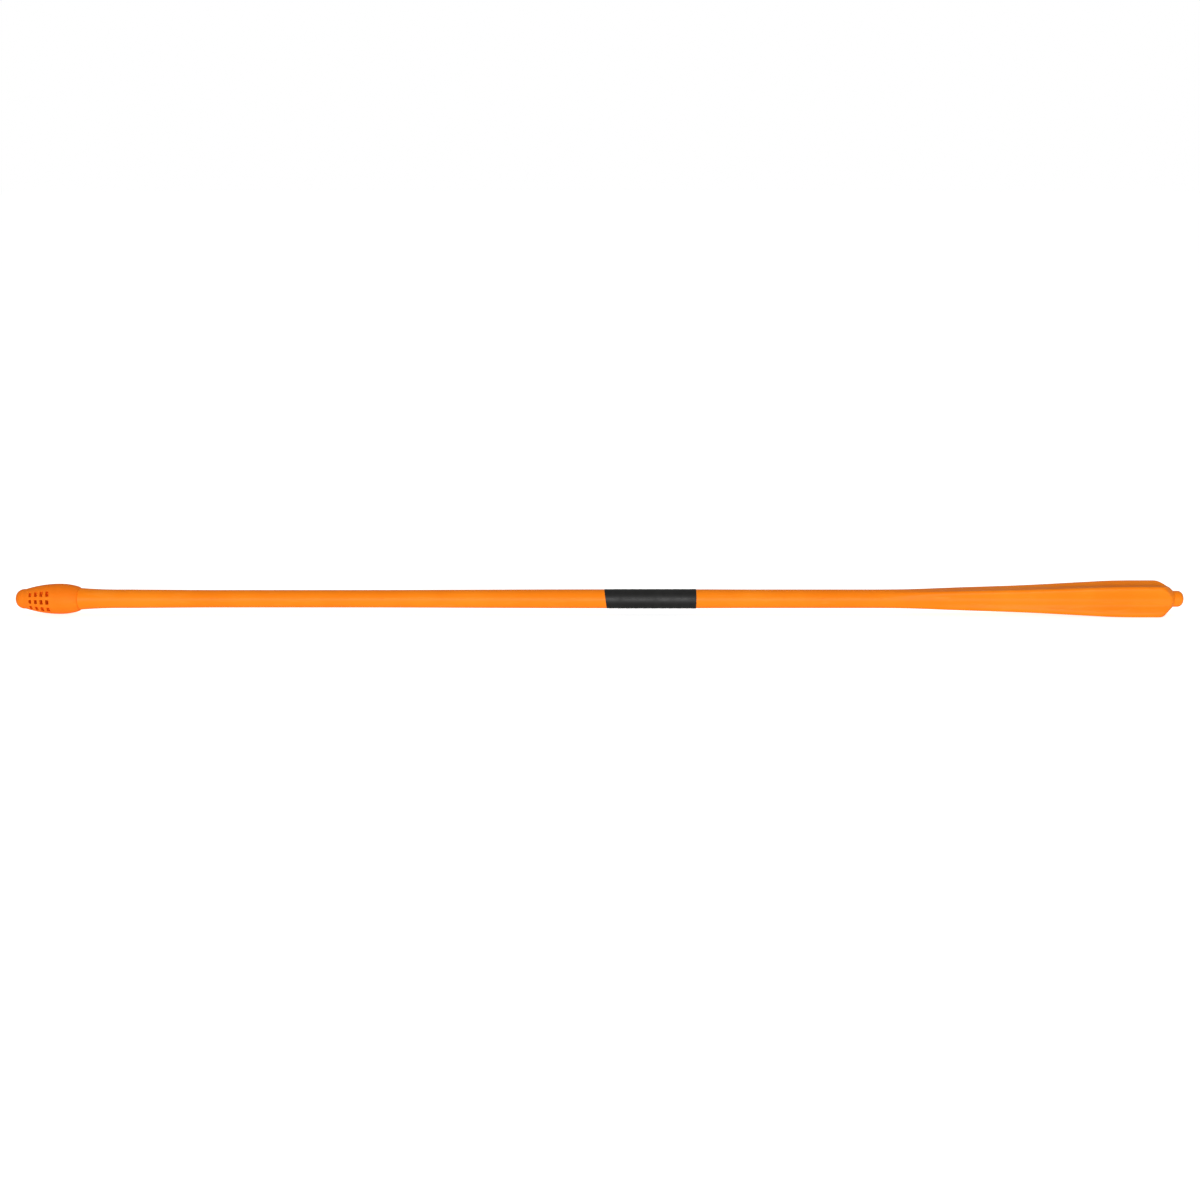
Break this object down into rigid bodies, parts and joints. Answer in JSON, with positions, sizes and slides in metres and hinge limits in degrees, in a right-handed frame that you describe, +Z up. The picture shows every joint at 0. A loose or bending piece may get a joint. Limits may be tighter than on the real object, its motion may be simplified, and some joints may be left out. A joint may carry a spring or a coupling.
{
  "type": "training javelin",
  "caption": "Slender throwing stick with a soft perforated nose bulb, a black taped grip at mid-length and a four-finned tail that ends in a small round knob.",
  "frame": {"origin": "under the middle of the stick's length, on the surface that its two lower fins rest on", "axes": "+X along the stick from the nose bulb to the tail knob, +Z up"},
  "size_m": [1.1, 0.0298, 0.0297],
  "materials": {
    "nose_rubber": "matte",
    "shaft_plastic": "satin",
    "tape_vinyl": "satin",
    "stem_plastic": "matte"
  },
  "bodies": {
    "root": {"nose_bulb": "nose_rubber", "nose_stem": "stem_plastic", "front_shaft": "shaft_plastic", "joining_rod": "stem_plastic", "rear_shaft": "shaft_plastic", "grip_tape": "tape_vinyl", "tail_fins": "shaft_plastic", "tail_knob": "shaft_plastic"}
  },
  "joints": []
}
